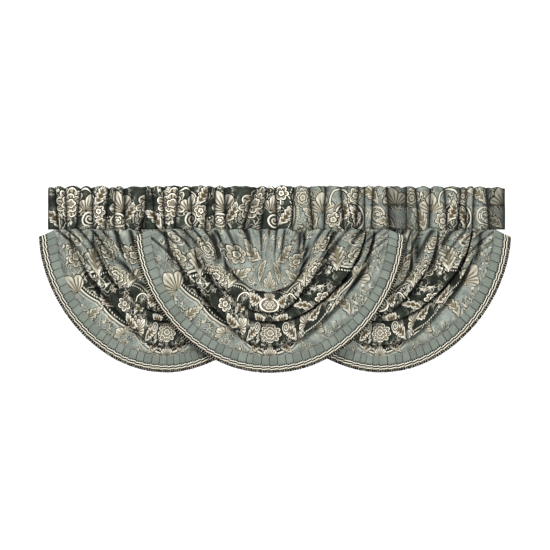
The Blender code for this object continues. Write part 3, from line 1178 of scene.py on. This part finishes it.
# The braid's section: how far across it each point lies, and how far it stands off the ribbon.
CORD_PROFILE = ((0.0, 0.0), (0.0060, 0.0003), (0.0066, 0.0016), (0.0084, 0.0022), (0.0102, 0.0016),
                (0.0110, 0.0010), (0.0138, 0.0014), (0.0166, 0.0010), (0.0174, 0.0016),
                (0.0190, 0.0022), (0.0206, 0.0016), (0.0214, 0.0006), (0.0226, 0.0))
BRAID_STATIONS = (0.0, 0.04, 0.28, 0.52, 0.76)  # along each pleat, close together at its step
BRAID_LAP = 0.003  # how far it laps over the ribbon


def braid_surface(valance):
    """The braid follows the pleats under it, with a small step at each."""
    starts, _ = pleat_starts(valance)
    widths = np.diff(starts)
    turns = np.concatenate([starts[:-1] + share * widths for share in BRAID_STATIONS] + [[1.0]])
    local = np.append(np.repeat(BRAID_STATIONS, PLEATS), 1.0)
    order = np.argsort(turns)
    turns, local = turns[order], local[order]
    step = np.where(local < 0.02, 0.0, 1.0 - local)
    rows = []
    for across, height in CORD_PROFILE:
        width = FRILL_WIDTH - BRAID_LAP + across + (step - 0.5) * PLEAT_STAIR
        x, z = border_points(valance, turns, width)
        y = valance.plane - CORD_OUT - step * CORD_STEP - height
        rows.append(np.stack([x, y, z], axis=-1))
    surface = np.array(rows)
    along = running(step_lengths(surface[len(CORD_PROFILE) // 2], 0))
    return surface, flat_map(along, np.array([point[0] for point in CORD_PROFILE]))


def dress_braid(valance, cord, yarn):
    """The braid with its cords, and the brush of cut yarn at its outer edge."""
    surface, flat = braid_surface(valance)
    grid = (surface, flat, np.zeros(surface.shape[:2]))
    braid = sheet_piece("braid_cords_" + valance.name, grid, (cord,), "braid_" + valance.name,
                        BRAID)
    braid.data.shade_smooth()
    finish_piece("brush_edge_" + valance.name, brush_tufts(valance), (yarn,), None)


BRUSH_RUN = 1.55 * HEM_DROP * 2  # about how long the brush is, in metres
TUFT_ROOT = 0.0014  # radius
TUFT_TIP = 0.0012
TUFT_STRAY = 0.07


def brush_tufts(valance):
    """Short three-sided tufts of yarn that point out from the braid, each a little its own way."""
    chance = np.random.default_rng(valance.seed + 7)
    bm = bmesh.new()
    layer = bm.loops.layers.uv.new("cloth")
    turns = -1 + 2 * (np.arange(TUFTS) + 0.5) / TUFTS
    inner = BORDER_WIDTH - BRUSH_LENGTH - 0.004
    root_x, root_z = border_points(valance, turns, inner)
    tip_x, tip_z = border_points(valance, turns, BORDER_WIDTH)
    for k in range(TUFTS):
        root_y = valance.plane - CORD_OUT + chance.uniform(-0.001, 0.0012)
        root = Vector((root_x[k], root_y, root_z[k]))
        way = Vector((tip_x[k], root.y, tip_z[k])) - root
        length = way.length * chance.uniform(0.86, 1.0)
        way = way.normalized() + Vector(chance.uniform(-TUFT_STRAY, TUFT_STRAY, 3))
        turned = way.to_track_quat("Z", "Y").to_matrix().to_4x4()
        made = bmesh.ops.create_cone(
            bm, cap_ends=True, segments=3, radius1=TUFT_ROOT, radius2=TUFT_TIP, depth=length,
            matrix=Matrix.Translation(root + way.normalized() * length / 2) @ turned)
        for face in {face for vert in made["verts"] for face in vert.link_faces}:
            for loop in face.loops:
                out = (loop.vert.co - root).length / length
                loop[layer].uv = (k * BRUSH_RUN / TUFTS, min(out, 1.0))
    return bm


# Stage, camera and light

FLOOR_HALF = 4.0
FLOOR_DROP = 1.95  # how far under the middle of the picture the floor lies


def set_stage(centre):
    bm = bmesh.new()
    bmesh.ops.create_grid(bm, x_segments=1, y_segments=1, size=FLOOR_HALF)
    bmesh.ops.translate(bm, verts=bm.verts, vec=(centre.x, 0.0, centre.z - FLOOR_DROP))
    floor = new_object("floor", bm, (floor_paint("floor_paint"),))


def aim(thing, place, target):
    thing.location = place
    thing.rotation_euler = (target - place).to_track_quat("-Z", "Y").to_euler()
    bpy.context.scene.collection.objects.link(thing)


METRES_PER_PIXEL = 0.0045
FRAME_PIXELS = 550
MIDDLE_PIXEL_X = 270  # where the middle valance's centre lies in the picture
TOP_PIXEL_Y = 185
CAMERA_DISTANCE = 10.5
SENSOR = 36


def set_camera():
    """A long lens square to the drape, so that it looks nearly flat, as in the picture."""
    half = FRAME_PIXELS / 2
    target = Vector((half - MIDDLE_PIXEL_X, 0.0, TOP_PIXEL_Y - half)) * METRES_PER_PIXEL
    data = bpy.data.cameras.new("camera")
    data.sensor_width = SENSOR
    data.lens = SENSOR * CAMERA_DISTANCE / (FRAME_PIXELS * METRES_PER_PIXEL)
    camera = bpy.data.objects.new("camera", data)
    aim(camera, target + Vector((0, -CAMERA_DISTANCE, 0)), target)
    bpy.context.scene.camera = camera
    return target


# Each lamp: where it stands from the drape's middle, its width and its power.
Lamp = namedtuple("Lamp", "name place width power")
LAMPS = (
    Lamp("key_light", (-1.8, -2.9, 2.0), 0.8, 120.0),
    Lamp("fill_light", (3.0, -3.0, 0.6), 2.0, 84.0),
    Lamp("back_light", (1.0, 3.2, 2.2), 2.4, 130.0),
)
ROOM_LIGHT = 0.40  # how brightly the pale room lights the cloth
BACKDROP_LIGHT = 1.0  # how bright it looks behind it


def set_lights(target):
    for lamp in LAMPS:
        data = bpy.data.lights.new(lamp.name, "AREA")
        data.size = lamp.width
        data.energy = lamp.power
        aim(bpy.data.objects.new(lamp.name, data), target + Vector(lamp.place), target)
    world = bpy.data.worlds.new("pale_room")
    world.use_nodes = True
    tree = world.node_tree
    sky = tree.nodes["Background"]
    sky.inputs["Color"].default_value = (1.0, 1.0, 1.0, 1.0)
    path = tree.nodes.new("ShaderNodeLightPath")
    seen = Field(tree, path.outputs["Is Camera Ray"]) * (BACKDROP_LIGHT - ROOM_LIGHT) + ROOM_LIGHT
    plug(tree, seen, sky.inputs["Strength"])
    bpy.context.scene.world = world
    bpy.context.scene.view_settings.view_transform = "Standard"
    bpy.context.scene.view_settings.look = "Medium High Contrast"


def main():
    target = set_camera()
    set_stage(target)
    set_lights(target)
    swag_face = damask("swag_damask", heading=False)
    swag_back = damask("swag_damask_back", heading=False, reverse=True)
    heading_face = damask("heading_damask", heading=True)
    heading_back = damask("heading_damask_back", heading=True, reverse=True)
    ribbon = ribbon_cloth("sage_ribbon")
    cord = cord_braid("striped_cord")
    yarn = brush_yarn("brush_yarn")
    for valance in VALANCES:
        dress_heading(valance, heading_face, heading_back)
        dress_swag(valance, swag_face, swag_back)
        dress_braid(valance, cord, yarn)
        dress_frill(valance, ribbon)


main()
